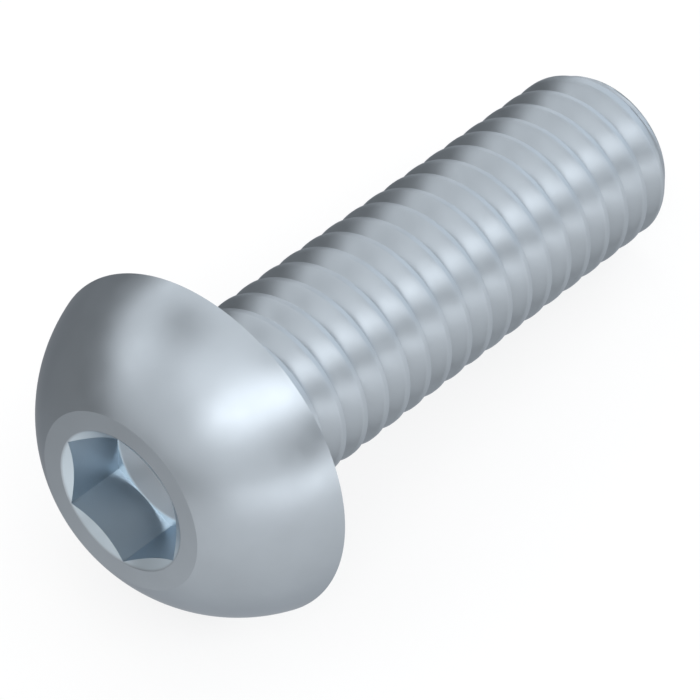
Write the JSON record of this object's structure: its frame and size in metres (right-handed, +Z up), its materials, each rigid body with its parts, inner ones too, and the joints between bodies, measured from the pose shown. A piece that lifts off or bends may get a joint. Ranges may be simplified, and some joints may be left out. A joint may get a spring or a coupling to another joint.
{
  "type": "button head screw",
  "caption": "Button head screw with a low domed head, a countersunk hexagon socket and a fully threaded shank, lying on its side.",
  "frame": {"origin": "middle of the box that the lying screw fills, at the level of the surface it lies on", "axes": "+Z up, +X along the screw from head to tip, the screw's own axis leaning 8.2 degrees from +X because it rests on its head's rim and on a thread crest near its tip"},
  "size_m": [0.0118, 0.0056, 0.0056],
  "materials": {
    "zinc": "zinc plated, satin"
  },
  "bodies": {
    "root": {"screw": "zinc"}
  },
  "joints": []
}
